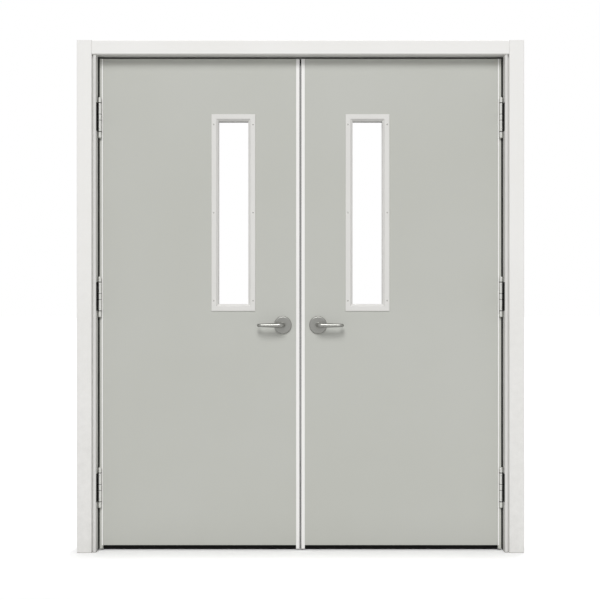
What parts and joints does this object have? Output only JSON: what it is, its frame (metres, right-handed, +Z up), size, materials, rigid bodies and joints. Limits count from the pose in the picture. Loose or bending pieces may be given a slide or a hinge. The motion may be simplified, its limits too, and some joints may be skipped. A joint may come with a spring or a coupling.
{
  "type": "double door",
  "caption": "Flush cleanroom double door in a folded steel frame, with slim windows, lever handles, barrel hinges and drop seals.",
  "frame": {"origin": "on the floor, at the centre of the underside of the left jamb's floor anchor plate", "axes": "+X along the wall from the left jamb to the right jamb, +Y into the wall from the side with the hinge barrels, +Z up"},
  "size_m": [1.88, 0.16, 2.155],
  "materials": {
    "powder_white": "satin powder coat",
    "leaf_grey": "satin powder coat",
    "stile_white": "powder coated extrusion",
    "rim_grey": "satin powder coat",
    "satin_steel": "satin ground",
    "zinc_steel": "zinc plated",
    "black_rubber": "matt",
    "grey_rubber": "matt",
    "clear_glass": "polished"
  },
  "bodies": {
    "frame": {"jamb_left": "powder_white", "jamb_right": "powder_white", "head": "powder_white", "casing_front_left": "powder_white", "casing_front_right": "powder_white", "casing_front_head": "powder_white", "casing_rear_left": "powder_white", "casing_rear_right": "powder_white", "casing_rear_head": "powder_white", "frame_seal": "black_rubber", "floor_anchor_left": "zinc_steel", "floor_anchor_right": "zinc_steel", "hinge_frame_left_top": "satin_steel", "hinge_frame_left_middle": "satin_steel", "hinge_frame_left_bottom": "satin_steel", "hinge_frame_right_top": "satin_steel", "hinge_frame_right_middle": "satin_steel", "hinge_frame_right_bottom": "satin_steel"},
    "leaf_left": {"leaf_panel_left": "leaf_grey", "hinge_stile_left": "stile_white", "meeting_stile_left": "stile_white", "meeting_seal_left": "grey_rubber", "drop_seal_left": "black_rubber", "window_glass_left": "clear_glass", "window_rim_front_left": "rim_grey", "window_rim_rear_left": "rim_grey", "lever_roses_left": "satin_steel", "hinge_leaf_left_top": "satin_steel", "hinge_leaf_left_middle": "satin_steel", "hinge_leaf_left_bottom": "satin_steel"},
    "lever_left": {"lever_handle_left": "satin_steel"},
    "leaf_right": {"leaf_panel_right": "leaf_grey", "hinge_stile_right": "stile_white", "meeting_stile_right": "stile_white", "meeting_seal_right": "grey_rubber", "drop_seal_right": "black_rubber", "window_glass_right": "clear_glass", "window_rim_front_right": "rim_grey", "window_rim_rear_right": "rim_grey", "lever_roses_right": "satin_steel", "hinge_leaf_right_top": "satin_steel", "hinge_leaf_right_middle": "satin_steel", "hinge_leaf_right_bottom": "satin_steel"},
    "lever_right": {"lever_handle_right": "satin_steel"}
  },
  "joints": [
    {"name": "leaf_swing_left", "type": "hinge", "parent": "frame", "child": "leaf_left", "pos_m": [0.0329, -0.0245, 0], "axis": [0, 0, -1], "range_deg": [0, 105]},
    {"name": "leaf_swing_right", "type": "hinge", "parent": "frame", "child": "leaf_right", "pos_m": [1.7349, -0.0245, 0], "axis": [0, 0, 1], "range_deg": [0, 105]},
    {"name": "lever_turn_left", "type": "hinge", "parent": "leaf_left", "child": "lever_left", "pos_m": [0.8089, 0.0075, 0.957], "axis": [0, -1, 0], "range_deg": [0, 45], "stiffness_Nm_per_rad": 1.5, "springref_deg": -20.05},
    {"name": "lever_turn_right", "type": "hinge", "parent": "leaf_right", "child": "lever_right", "pos_m": [0.9589, 0.0075, 0.957], "axis": [0, 1, 0], "range_deg": [0, 45], "stiffness_Nm_per_rad": 1.5, "springref_deg": -20.05}
  ]
}
